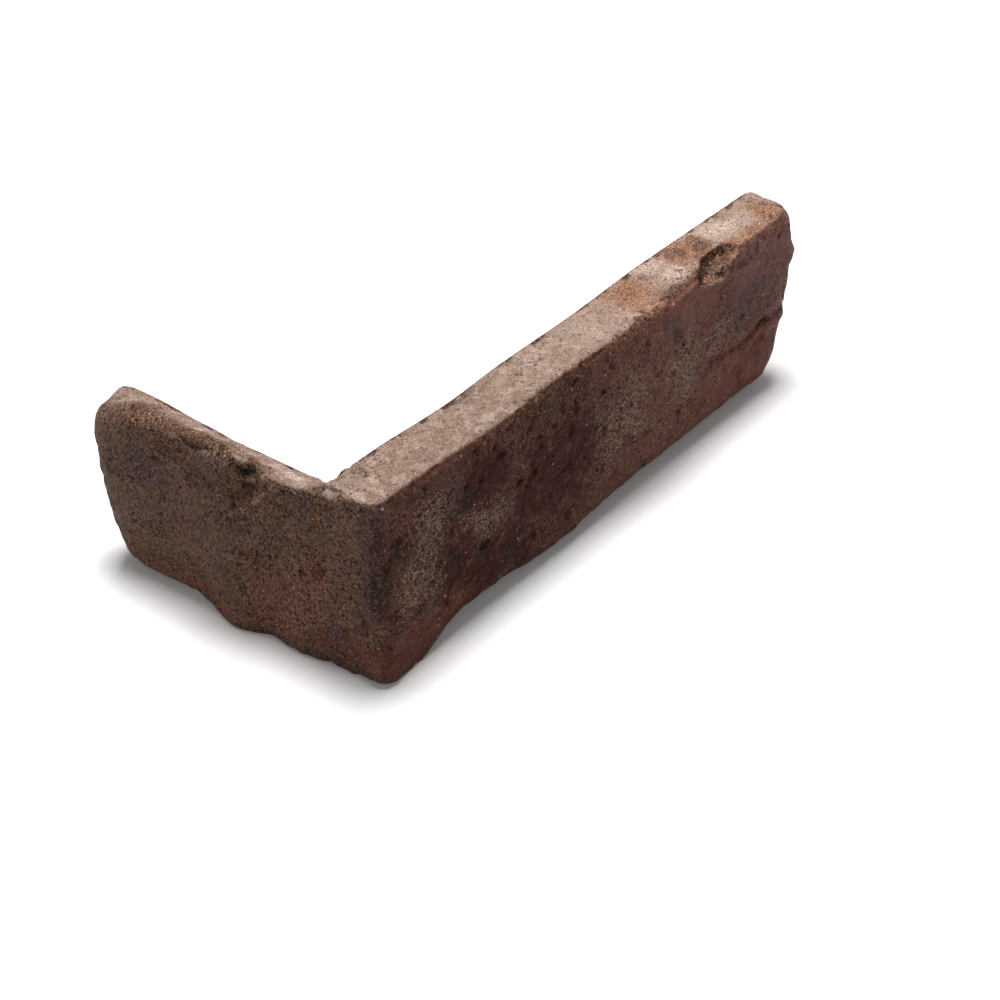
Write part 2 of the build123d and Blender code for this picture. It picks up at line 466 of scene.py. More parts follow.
    def fan_stations(self) -> Stations:
        """The sections that fan round the outer corner, evenly spaced on its outside.

        A ray from the pivot meets the header face or the long face, whichever is nearer, or the
        arc that rounds their corner. One ray passes the corner of the two saw cuts.

        Returns:
            The sections between the two legs.
        """
        size = self.sizes
        px, py = self.pivot
        path = np.linspace(0.0, px + py, self.counts.fan + 2)[1:-1]
        header = np.arctan2(np.minimum(path, py), px)
        side = np.pi / 2 - np.arctan2(np.clip(px + py - path, 0.0, px), py)
        angle = np.where(path < py, header, side)
        angle[np.argmin(np.abs(angle - np.pi / 4))] = np.pi / 4
        outward = np.stack([-np.cos(angle), -np.sin(angle)], -1)
        slope = self.header_slope
        to_header = (px + slope * py) / (-outward[:, 0] - slope * outward[:, 1])
        reach = np.minimum(to_header, py / -outward[:, 1])
        centre = size.corner_radius - self.pivot
        along = outward @ centre
        beside = centre @ centre - along**2
        meets = self.pivot + outward * reach[:, None]
        rounded = (meets.max(axis=1) < size.corner_radius) & (beside < size.corner_radius**2)
        arc = along + np.sqrt(np.clip(size.corner_radius**2 - beside, 0.0, None))
        reach = np.where(rounded, arc, reach)
        meets = np.clip(self.pivot + outward * reach[:, None], 0.0, None)
        degrees = np.degrees(angle)
        blend = size.corner_blend.at(degrees)
        form = self.short_form(meets[:, 1]).mixed(self.long_form(meets[:, 0]), blend)
        low_edge = self.short_form(self.pivot[1:]).inside
        form.inside = low_edge + (size.height - low_edge) * self.short.frog_fan.at(degrees)
        foot = np.tile(self.pivot, (len(angle), 1))
        still, zero = np.zeros((len(angle), 3)), np.zeros_like(angle)
        return Stations(foot, outward, reach, still[:, :2], still[:, :2], still, zero, form)

    def stations(self) -> Stations:
        """Joins the sections of the legs and of the corner between them.

        Returns:
            All the sections, from the short leg's free end to the long leg's.
        """
        runs = (self.leg_stations(1), self.fan_stations(), self.leg_stations(0))
        names = [field.name for field in fields(Stations) if field.name != "form"]
        joined = {name: np.concatenate([getattr(run, name) for run in runs]) for name in names}
        return Stations(**joined, form=runs[0].form.joined(runs[1].form, runs[2].form))

    def smooth_grid(self) -> tuple[np.ndarray, np.ndarray]:
        """The surface before its wear: a closed section at each station.

        A section runs out along the bed, up the bed arris (a quadratic Bezier), the face (a cubic
        one) and the top arris (a quadratic one), back along the sloping top, and down the saw cut.

        Returns:
            The points, as sections by places round them by three, and the Side of each place.
        """
        size, counts = self.sizes, self.counts
        at = self.stations()
        form = at.form
        outer_drop, inner_drop, bed_rise = at.moves.T
        low = bed_rise - size.bed_waste
        high = form.outside - outer_drop
        face = at.reach + form.swelling - at.stand_back
        sawn = size.saw_waste / np.abs(at.outward).max(axis=1)
        fall = (form.outside - form.inside) / (face - form.top_width - size.saw_waste)
        edge_high = form.inside - fall * (size.saw_waste - size.waste_edge) - inner_drop
        top_edge = face - form.top_width
        share = (top_edge - sawn) / (top_edge - size.waste_edge)
        sawn_high = high + (edge_high - high) * share
        foot = face + form.lip
        bed_edge = foot - form.bed_width
        face_low, face_high = low + form.bed_height, high - form.top_height
        third = (face_high - face_low) / 3

        def steps(count: int, last: bool = False) -> np.ndarray:
            """Even shares from 0 to 1, with or without the 1."""
            return np.linspace(0.0, 1.0, count, endpoint=last)[None, :]

        def line(first: np.ndarray, second: np.ndarray, t: np.ndarray) -> np.ndarray:
            """Points that share of the way from first to second."""
            return first[:, None] + (second - first)[:, None] * t

        def curve(controls: list[np.ndarray], t: np.ndarray) -> np.ndarray:
            """Points of a Bezier curve, by going from each row of values to the next.

            Args:
                controls: the control values, one array a control point.
                t: shares of the way.

            Returns:
                The values, as sections by shares.
            """
            rows = [control[:, None] + 0.0 * t for control in controls]
            while len(rows) > 1:
                rows = [a + (b - a) * t for a, b in zip(rows, rows[1:])]
            return rows[0]

        bed, bed_arris, up = steps(counts.bed), steps(counts.bed_arris), steps(counts.face)
        top_arris, top = steps(counts.top_arris), steps(counts.top, True)
        down = steps(counts.inner + 1)[:, 1:]
        bow = size.face_bow
        out = [
            line(sawn, bed_edge, bed),
            curve([bed_edge, foot, foot], bed_arris),
            curve([foot, face + form.lip * 2 / 3 + bow, face + form.lip / 3 + bow, face], up),
            curve([face, face, top_edge], top_arris),
            line(top_edge, sawn, top),
            line(sawn, sawn, down),
        ]
        rise = [
            line(low, low, bed),
            curve([low, low, face_low], bed_arris),
            curve([face_low, face_low + third, face_high - third, face_high], up),
            curve([face_high, high, high], top_arris),
            line(high, sawn_high, top),
            line(sawn_high, np.maximum(low, 0.0), down),
        ]
        kinds = (Side.BED, Side.WORN, Side.WORN, Side.WORN, Side.TOP, Side.SAWN)
        sides = np.concatenate([np.full(part.shape[1], kind.value) for part, kind in zip(out, kinds)])
        out, rise = np.concatenate(out, axis=1), np.maximum(np.concatenate(rise, axis=1), 0.0)
        tilt = rise / size.height - 0.5
        arch = np.clip(1.0 - 4.0 * tilt**2, 0.0, None)
        flat = at.foot[:, None] + at.outward[:, None] * out[..., None]
        flat = flat + at.lean[:, None] * tilt[..., None] + at.bulge[:, None] * arch[..., None]
        return np.concatenate([flat, rise[..., None]], axis=-1), sides

    def capped(self, grid: np.ndarray, bulges: tuple[float, float]) -> np.ndarray:
        """The sections with the two free ends closed by rings that shrink towards a pole.

        A ring lies a share of the way from the end section to its middle, and stands out by the
        bulge times the sine of that share's quarter turn.

        Args:
            grid: the sections.
            bulges: how far the short leg's end and the long leg's end swell out at their poles.

        Returns:
            The sections with the rings before and after them, without the poles themselves.
        """
        share = (np.arange(1, self.counts.cap + 1) / (self.counts.cap + 1))[:, None, None]
        rings = []
        for ring, outward, bulge in ((grid[0], (0, 1, 0), bulges[0]), (grid[-1], (1, 0, 0), bulges[1])):
            middle = ring.mean(axis=0)
            swell = bulge * np.sin(share * np.pi / 2) * np.array(outward)
            rings.append(ring + (middle - ring) * share + swell)
        return np.concatenate([rings[0][::-1], grid, rings[1]])

    def normals(self, grid: np.ndarray) -> np.ndarray:
        """Works out the normals: the step along the corner crossed with the step round the section.

        Args:
            grid: the sections.

        Returns:
            A unit normal at each point.
        """
        along = np.gradient(grid, axis=0)
        around = (np.roll(grid, -1, axis=1) - np.roll(grid, 1, axis=1)) / 2
        normal = np.cross(along, around)
        return normal / np.maximum(np.linalg.norm(normal, axis=-1, keepdims=True), LEAST)

    def surface(self, wear: "ClayWear") -> "Skin":
        """The worn surface: the capped grid, chipped, and moved along its normals by the wear.

        On the sawn faces nothing moves through the saw's plane, and on the bed nothing sinks
        below the floor.

        Args:
            wear: the relief of the clay.

        Returns:
            The surface, with what the tints need to know of it.
        """
        smooth, sides = self.smooth_grid()
        grid = self.capped(smooth, (wear.short_bulge, wear.long_bulge))
        chipped = self.chip.depth(grid)
        grid = grid + chipped[..., None] * np.array(self.chip.inward)
        normal = self.normals(grid)
        caps = np.zeros(len(grid), bool)
        caps[: self.counts.cap] = caps[-self.counts.cap :] = True
        kinds = np.where(caps[:, None], Side.WORN.value, sides[None, :])
        relief = wear.relief(grid, normal, kinds, chipped)
        push = normal * relief[..., None]
        edges = self.pivot - self.sizes.saw_waste - ON_CUT
        for axis, other in ((0, 1), (1, 0)):
            held = self.by_saw(sides) & ~caps[:, None] & (grid[..., other] >= edges[other])
            held &= (grid[..., axis] > edges[axis]) & (grid[..., axis] < self.pivot[axis])
            push[..., axis] = np.where(held, 0.0, push[..., axis])
        moved = grid + push
        moved[..., 2] = np.maximum(moved[..., 2], 0.0)
        return Skin(moved, normal, kinds, relief, chipped)

    def by_saw(self, sides: np.ndarray) -> np.ndarray:
        """Which places of a section lie on a saw cut, its two edges among them."""
        sawn = sides == Side.SAWN.value
        return (sawn | np.roll(sawn, 1) | np.roll(sawn, -1))[None, :]


@dataclass(frozen=True)
class Crease:
    """A groove, or with a rise above nothing a ridge, along a broken line on a flattened face."""

    path: tuple[tuple[float, float], ...]
    width: float
    rise: float

    def at(self, along: np.ndarray, up: np.ndarray) -> np.ndarray:
        """The rise times the bell exp(-(d / width)^2) of the distance d to the nearest stretch.

        Args:
            along: distance along the face, in millimetres.
            up: distance across the face, in millimetres.

        Returns:
            Millimetres that each point moves out.
        """
        nearest = np.full(along.shape, np.inf)
        for first, second in zip(self.path, self.path[1:]):
            start, run = np.array(first), np.array(second) - np.array(first)
            offset = np.stack([along, up], -1) - start
            share = np.clip(offset @ run / (run @ run), 0.0, 1.0)
            nearest = np.minimum(nearest, np.linalg.norm(offset - share[..., None] * run, axis=-1))
        return self.rise * np.exp(-((nearest / self.width) ** 2))


@dataclass(frozen=True)
class Dent:
    """A hollow, or with a rise above nothing a lump, on a flattened face."""

    spot: Spot
    rise: float

    def at(self, along: np.ndarray, up: np.ndarray) -> np.ndarray:
        """The rise times the spot's share."""
        return self.rise * self.spot.at(along, up)


@dataclass(frozen=True)
class ClayWear:
    """The relief that moulding, firing and weather left on the clay, in millimetres.

    Places on the outer faces are flattened: the long leg's run from the outer corner is above
    zero, the short leg's below, and the second number is the height. Places on the top are x and y.
    """

    short_bulge: float = 2.0
    long_bulge: float = 1.0
    broad: float = 0.2
    lumps: float = 0.28
    grain: float = 0.26
    pits: float = 0.8
    nicks: float = 4.0
    crumble: float = 1.5
    saw_marks: float = 0.1
    seeds: tuple[int, int, int, int] = (3, 5, 7, 11)
    broad_size: float = 30.0
    lump_size: float = 7.0
    grain_size: float = 2.4
    pit_size: float = 3.2
    pit_level: float = 0.62
    pit_slope: float = 2.2
    nick_size: float = 3.0
    cuts: tuple[float, float] = (CornerSizes.short_thickness, CornerSizes.long_thickness)
    by_cut: Slope = Slope(2.2, 0.0)
    bed_share: float = 0.25
    saw_pitch: float = 2.6
    saw_centre: tuple[float, float] = (60.0, -90.0)
    saw_drift: float = 0.3
    saw_fade: float = 0.4
    saw_fade_size: float = 20.0
    looks_up: Slope = Slope(0.3, 0.75)
    looks_level: Slope = Slope(0.75, 0.3)
    looks_out: Slope = Slope(0.3, 0.6)
    in_chip: Slope = Slope(0.3, 2.5)
    faces: tuple[Crease | Dent, ...] = (
        Dent(Spot((-56.5, 51.5), (8.0, 7.0), -30.0), 2.2),
        Dent(Spot((-45.0, 49.0), (9.0, 6.5), 20.0), -1.5),
        Dent(Spot((-51.0, 45.5), (6.0, 2.6), -15.0), -0.8),
        Dent(Spot((-46.5, 56.5), (5.0, 2.4), -10.0), 1.5),
        Crease(((-49.0, 53.8), (-45.5, 53.2), (-42.0, 54.8)), 0.9, -1.6),
        Crease(((-38.5, 52.5), (-40.5, 47.5), (-46.0, 43.6)), 1.2, 1.1),
        Crease(((-48.0, 50.5), (-42.0, 51.0)), 0.7, 0.7),
        Crease(((-47.5, 47.6), (-42.5, 48.2)), 0.7, 0.7),
        Crease(((-69.0, 55.2), (-63.0, 54.6), (-59.0, 56.0)), 0.8, -0.8),
        Crease(((-79.0, 49.0), (-70.0, 48.2), (-60.0, 46.5)), 1.3, -0.7),
        Crease(((-33.0, 55.2), (-27.0, 55.4), (-16.0, 58.4), (-8.0, 59.6)), 0.8, -0.9),
        Crease(((-12.0, 29.4), (-3.0, 17.0), (5.4, 7.8)), 1.6, -0.6),
        Crease(((-31.0, 40.0), (-25.0, 34.5), (-14.0, 37.0)), 1.0, 0.5),
        Crease(((-23.9, 33.7), (-16.3, 20.7), (-2.7, 6.5)), 2.4, 0.6),
        Crease(((189.3, 27.1), (176.3, 28.0), (170.4, 25.1), (150.3, 26.9)), 1.1, -1.0),
        Crease(((178.0, 24.0), (166.0, 18.0), (155.0, 13.5)), 2.4, -0.8),
        Crease(((189.3, 24.6), (176.3, 25.6), (168.0, 22.0)), 2.0, 0.7),
        Crease(((130.0, 49.0), (134.0, 43.0), (138.0, 38.0)), 1.0, -0.8),
        Crease(((27.0, 33.0), (30.0, 25.0), (36.0, 17.0)), 1.6, -0.6),
        Dent(Spot((196.0, 44.0), (9.0, 5.0)), 2.2),
        Dent(Spot((16.0, 32.0), (16.0, 18.0), 20.0), 0.5),
        Dent(Spot((43.0, 33.0), (12.0, 8.0), -20.0), 0.6),
        Dent(Spot((1.0, 4.0), (12.0, 6.0)), 1.3),
        Dent(Spot((-96.0, 33.0), (12.0, 3.0)), 0.6),
    )
    tops: tuple[Crease | Dent, ...] = (
        Crease(((129.5, 16.5), (131.2, 13.0), (134.3, 9.5)), 0.9, -1.0),
        Crease(((127.6, 6.8), (127.0, 3.0)), 0.8, -0.9),
        Crease(((147.0, 16.5), (145.5, 10.0), (145.0, 3.0)), 1.2, -1.0),
        Crease(((159.0, 15.5), (158.5, 10.0), (161.0, 6.0)), 1.6, 0.9),
        Crease(((156.5, 15.0), (156.0, 8.0)), 1.2, -0.8),
        Crease(((36.0, 11.0), (42.0, 9.0)), 0.6, -0.6),
        Dent(Spot((152.0, 9.0), (8.0, 12.0)), -0.9),
        Dent(Spot((171.0, 6.0), (10.0, 6.0)), -0.6),
        Crease(((189.0, 17.0), (190.5, 11.0), (194.5, 6.0)), 1.4, -1.3),
        Crease(((176.0, 17.0), (175.0, 13.0)), 1.2, -1.0),
        Dent(Spot((136.0, 0.0), (13.0, 9.0)), -2.4),
    )
    crumbled: tuple[Spot, ...] = spots(
        (152, 8, 12, 16), (125, 6, 9, 12), (186, 8, 12, 12),
    )

    def relief(
        self, points: np.ndarray, normal: np.ndarray, kinds: np.ndarray, chipped: np.ndarray
    ) -> np.ndarray:
        """How far each point moves out along its normal.

        Broad waves, lumps and grain are octaves of noise, and a pit is where a fine noise passes a
        level. In the chip and on crumbled ground the finer ones are stronger. The creases and
        dents are added on the faces where they lie, and beside the saw cuts the top is nicked by
        noise. On the sawn faces there is only the ripple of the saw: a sine of the distance from
        the middle of its blade.

        Args:
            points: the smooth surface.
            normal: its normals.
            kinds: the Side number of each point.
            chipped: how deep the chip is at each point.

        Returns:
            Millimetres, less than nothing where the surface sinks.
        """
        wave, lump, fine, pit = [Grain(seed) for seed in self.seeds]
        x, y, up = np.moveaxis(points, -1, 0)
        along = x - y
        outward = np.maximum(-normal[..., 0], -normal[..., 1])
        on_face = np.maximum(self.looks_level.at(normal[..., 2]), self.looks_out.at(outward))
        on_top = self.looks_up.at(normal[..., 2])
        hollow = np.clip(pit.rough(points, self.pit_size, 2) - self.pit_level, 0.0, None) * self.pit_slope
        loose = np.max([spot.at(x, y) for spot in self.crumbled], axis=0) * on_top
        crumbly = 1.0 + self.crumble * np.maximum(loose, self.in_chip.at(chipped))
        rough = (
            self.broad * wave.rough(points, self.broad_size, 2)
            + self.lumps * crumbly * lump.rough(points, self.lump_size, 3)
            + self.grain * crumbly * fine.rough(points, self.grain_size, 2)
            - self.pits * hollow
        )
        marks = sum(mark.at(along, up) for mark in self.faces) * on_face
        marks += sum(mark.at(x, y) for mark in self.tops) * on_top
        to_cut = np.minimum(np.abs(self.cuts[0] - x), np.abs(self.cuts[1] - y))
        nicked = np.clip(lump.rough(points, self.nick_size, 2), 0.0, 1.0)
        marks -= self.nicks * nicked * self.by_cut.at(to_cut) * on_top
        sawn = kinds == Side.SAWN.value
        turn = np.hypot(x - self.saw_centre[0], up - self.saw_centre[1]) + y * self.saw_drift
        ripple = 0.5 + 0.5 * np.sin(turn * 2 * np.pi / self.saw_pitch)
        fade = 1.0 - self.saw_fade + self.saw_fade * wave.at(points, self.saw_fade_size)
        marked = -self.saw_marks * ripple * fade
        share = np.select([sawn, kinds == Side.BED.value], [0.0, self.bed_share], 1.0)
        return (rough + marks) * share + np.where(sawn, marked, 0.0)


@dataclass(frozen=True)
class ClayTints:
    """Where each tint of the clay lies, as shares from 0 to 1 at each point of the surface.

    A rag is how far noise shifts the edge of a tint, in that edge's own measure, and a rim is the
    share of an oval up to which its edge fades. The chip's shares are how much orange and rust its
    broken ground has, how much painted shade lies deep in it, and how bare of dust it is. The grit
    shares are those of the sandy, rusty, dusty, orange, smeared and maroon ground.
    """

    seeds: tuple[int, int] = (21, 23)
    ragged: float = 0.35
    ragged_size: float = 6.0
    fine: float = 0.3
    fine_size: float = 1.6
    looks_up: Slope = Slope(0.6, 0.9)
    beside_cut: Slope = Slope(2.0, 5.5)
    up_short_leg: Slope = Slope(34.0, 44.0)
    pale_rim: Slope = Slope(0.1, 0.6)
    broken: Slope = Slope(0.3, 2.0)
    # Chip depths, in millimetres, over which its painted shade grows to full
    chip_shade_depth: Slope = Slope(0.3, 1.8)
    far: Slope = Slope(70.0, 125.0)
    # Depths of the relief, in millimetres, over which painted shade in sunk places grows to full
    sunk: Slope = Slope(-0.4, -1.4)
    long_side: Slope = Slope(-4.0, 4.0)
    upward_rag: float = 0.25
    cut_rag: float = 4.0
    side_rag: float = 8.0
    far_rag: float = 12.0
    sunk_rag: float = 0.4
    face_rim: float = 0.55
    bare_rim: float = 0.5
    chip_orange: float = 0.4
    chip_rust: float = 0.7
    # The most painted shade deep in the chip
    chip_shade: float = 0.8
    chip_bare: float = 0.4
    rolled_rust: float = 0.6
    # How much less painted shade sunk places get on the top and in the chip
    filled: float = 0.6
    grit_ground: float = 0.15
    grit_shares: tuple[float, ...] = (0.8, 0.8, 0.3, 0.6, -0.4, -0.6)
    rust: tuple[Spot, ...] = spots(
        (-90, 56, 16, 7), (-74, 51.5, 12, 4, -8), (-66.5, 50.5, 6, 3.5), (-42, 46, 8, 2.6, 45),
        (-22, 33, 7, 5, 20), (-20, 49, 4, 3, 40), (33, 17, 5, 2.5, -30),
    )
    red: tuple[Spot, ...] = spots(
        (-34, 15, 24, 15, 8), (-24, 28, 9, 11), (-72, 5, 32, 5), (-7, 8, 12, 7),
        (28, 13, 14, 6, -10), (168, 16, 28, 14),
    )
    slate: tuple[Spot, ...] = spots(
        (-58, 51.5, 6, 7), (-84, 40, 17, 7), (-48, 36, 6, 5), (-26, 51, 6, 8), (-3, 38, 8, 26),
        (-17, 14, 5, 5), (3, 54, 5, 9), (30, 47, 5, 8), (20, 18, 6, 5), (165, 38, 28, 11, 6),
        (130, 50, 10, 5, -50),
    )
    violet: tuple[Spot, ...] = spots(
        (176, 51, 20, 10, -8), (187, 36, 7, 14),
    )
    # Painted shade on the faces: dark ovals along creases, at the outer corner and on the long face near it
    char: tuple[Spot, ...] = spots(
        (-44, 53, 5, 1.2, 10), (-27, 53, 8, 3), (1, 36, 7, 22), (9, 42, 7, 9, 20),
        (29, 26, 4, 9, 20), (44, 22.5, 9, 3.5, 5), (34, 41, 12, 4, 20), (56, 14, 14, 8),
        (133, 45, 3, 7, 30),
    )
    maroon: tuple[Spot, ...] = spots(
        (31, 25, 10, 14), (48, 15, 28, 13), (44, 44, 18, 13), (76, 30, 26, 22),
    )
    sandy: tuple[Spot, ...] = spots(
        (22, 44, 13, 16, -15), (14, 27, 21, 18, 10), (43, 33, 18, 11, -20), (136, 32, 14, 28),
        (152, 35, 13, 11), (104, 32, 26, 24),
    )
    margin: tuple[Spot, ...] = spots(
        (10, 8, 20, 13), (-12, 9, 12, 11), (13, 47, 7, 9), (172, 14, 34, 14),
    )
    orange_top: tuple[Spot, ...] = spots(
        (123, 8, 16, 20), (152, 9, 15, 20), (165, 3, 14, 6), (189, 5, 13, 14), (176, 2, 12, 6),
    )
    # Painted shade on the top: along its creases, below its step, and in its hollows and the chip
    dark_top: tuple[Spot, ...] = spots(
        (158, 10, 3, 7), (132, 13, 5, 1.6, -56), (127, 5, 2.5, 5), (151, 0, 10, 5), (150, 13, 6, 5),
        (153, 6, 6, 4),
    )
    bare_top: tuple[Spot, ...] = spots((137, -1, 15, 9), (112, -1, 12, 4))
    lime_top: tuple[Spot, ...] = spots(
        (138, 15.5, 11, 6), (139.5, 6.5, 10, 6), (168, 12, 11, 8), (4.5, 66, 3, 5), (5, 33, 4, 10),
    )
    pale_face: tuple[Spot, ...] = spots(
        (-46.5, 57.2, 5.5, 2.2, -8), (-41.5, 46.5, 7, 1.6, 45), (-20, 58.5, 14, 2.5, -12),
    )
    smeared: tuple[Spot, ...] = spots(
        (1, 34, 12, 32), (12, 7, 34, 13), (24, 57, 40, 6), (136, 52, 24, 10), (176, 48, 24, 12),
        (172, 14, 34, 14),
    )

    def masks(self, skin: Skin) -> dict[str, np.ndarray]:
        """The tints' shares, three to a named attribute.

        Dust lies where the surface looks up, but on the short leg only beside the saw cut. Painted
        shade lies where the relief goes down, less of it on the top and in the chip. Gritty clay has
        much sand on it: some everywhere, plus the grit shares of the other tints.

        Args:
            skin: the worn surface.

        Returns:
            For each attribute's name, an array of three shares a point.
        """
        cloud, patch = [Grain(seed) for seed in self.seeds]
        x, y, up = np.moveaxis(skin.points, -1, 0)
        along = x - y
        ragged = self.ragged * cloud.rough(skin.points, self.ragged_size, 3)
        fine = self.fine * patch.rough(skin.points, self.fine_size, 2)

        def lies(ovals: tuple[Spot, ...], across: np.ndarray, rise: np.ndarray, rim: float) -> np.ndarray:
            """Where the ovals lie, with ragged edges that fade out over their rim."""
            nearest = np.max([spot.at(across, rise) for spot in ovals], axis=0)
            return Slope(0.0, rim).at(nearest + (ragged + fine) * (nearest > 0.0))

        upward = self.looks_up.at(skin.normal[..., 2] + self.upward_rag * (ragged + fine))
        beside_cut = self.beside_cut.at(x + self.cut_rag * (ragged + fine / 2))
        on_short = self.up_short_leg.at(y + self.side_rag * ragged)
        pale = np.max([spot.at(along, up) for spot in self.pale_face], axis=0)
        dust = upward * (1.0 - on_short * (1.0 - beside_cut))
        dust = np.maximum(dust, self.pale_rim.at(pale + ragged * pale))
        dust *= 1.0 - lies(self.bare_top, x, y, self.bare_rim)
        rolled = upward * on_short * (1.0 - beside_cut)
        facing = 1.0 - upward

        def on_face(ovals: tuple[Spot, ...], rim: float = self.face_rim) -> np.ndarray:
            """Where ovals lie on the flattened faces."""
            return lies(ovals, along, up, rim) * facing

        def on_top(ovals: tuple[Spot, ...]) -> np.ndarray:
            """Where ovals lie on the top."""
            return lies(ovals, x, y, 1.0) * upward

        broken = self.broken.at(skin.chipped)
        far = self.far.at(x + self.far_rag * ragged)
        # Painted shade where the relief sinks into creases, dents and pits, less of it on the top and in the
        # chip
        hollow = self.sunk.at(skin.relief + self.sunk_rag * fine)
        hollow = hollow * (1.0 - self.filled * broken) * (1.0 - self.filled * upward)
        orange = np.maximum(on_top(self.orange_top), self.chip_orange * broken)
        rust = np.maximum(self.rolled_rust * rolled, self.chip_rust * broken)
        rust = np.maximum(on_face(self.rust), rust)
        # Painted shade: the faces' dark ovals, the top's, and more of it deep in the chip
        char = np.maximum(on_face(self.char), on_top(self.dark_top))
        char = np.maximum(char, self.chip_shade * self.chip_shade_depth.at(skin.chipped))
        maroon, sandy, smeared = on_face(self.maroon), on_face(self.sandy, 1.0), on_face(self.smeared)
        sanded = zip(self.grit_shares, (sandy, rust, dust, orange, smeared, maroon))
        gritty = self.grit_ground + sum(share * tint for share, tint in sanded)
        side = self.long_side.at(along + self.side_rag * ragged) * facing
        sets = {
            "dust_rust_slate": (dust * (1.0 - self.chip_bare * broken), rust, on_face(self.slate)),
            "maroon_sandy_margin": (maroon, sandy, on_face(self.margin)),
            "orange_lime_far": (orange, on_top(self.lime_top), far),
            "gritty_sunk_shade_rolled": (np.clip(gritty, 0.0, 1.0), hollow, rolled),
            "red_violet_shade": (on_face(self.red), on_face(self.violet), char),
            "side_smeared_near": (side, smeared, 1.0 - far),
        }
        return {name: np.stack(shares, -1) for name, shares in sets.items()}


def linear(code: str) -> tuple[float, float, float, float]:
    """The linear colour, with an alpha of one, of an sRGB colour written in hex."""
    channels = [int(code[i : i + 2], 16) / 255 for i in (1, 3, 5)]
    return (*[c / 12.92 if c <= 0.04045 else ((c + 0.055) / 1.055) ** 2.4 for c in channels], 1.0)


def add_node(tree: bpy.types.NodeTree, kind: str, inputs: dict | None = None, **settings) -> bpy.types.Node:
    """Adds one node to a material.

    Args:
        tree: the material's nodes.
        kind: the node's type name, without ShaderNode.
        inputs: for each input's name or number, its value or the output that feeds it.
        settings: the node's own properties.

    Returns:
        The new node.
    """
    node = tree.nodes.new("ShaderNode" + kind)
    for name, value in settings.items():
        setattr(node, name, value)
    for name, value in (inputs or {}).items():
        if isinstance(value, Socket):
            tree.links.new(value, node.inputs[name])
        else:
            node.inputs[name].default_value = value
    return node


def seen_directly(tree: bpy.types.NodeTree) -> Socket:
    """Tells what is seen from what only lights.

    Args:
        tree: the nodes that ask.

    Returns:
        One for what the camera sees, also in a mirror or through glass, and nothing for soft light.
    """
    path = add_node(tree, "LightPath").outputs
    seen = path["Is Camera Ray"]
    for other in ("Is Glossy Ray", "Is Transmission Ray"):
        seen = add_node(tree, "Math", {0: seen, 1: path[other]}, operation="MAXIMUM").outputs[0]
    return seen


@dataclass(frozen=True)
class Ramp:
    """Nothing where a pattern is at low, most where it is at high, and smooth between."""

    pattern: Socket
    low: float
    high: float
    most: float = 1.0


@dataclass(frozen=True)
class Tint:
    """A colour in sRGB hex, and the most of it that shows where its mask is full."""

    code: str
    most: float


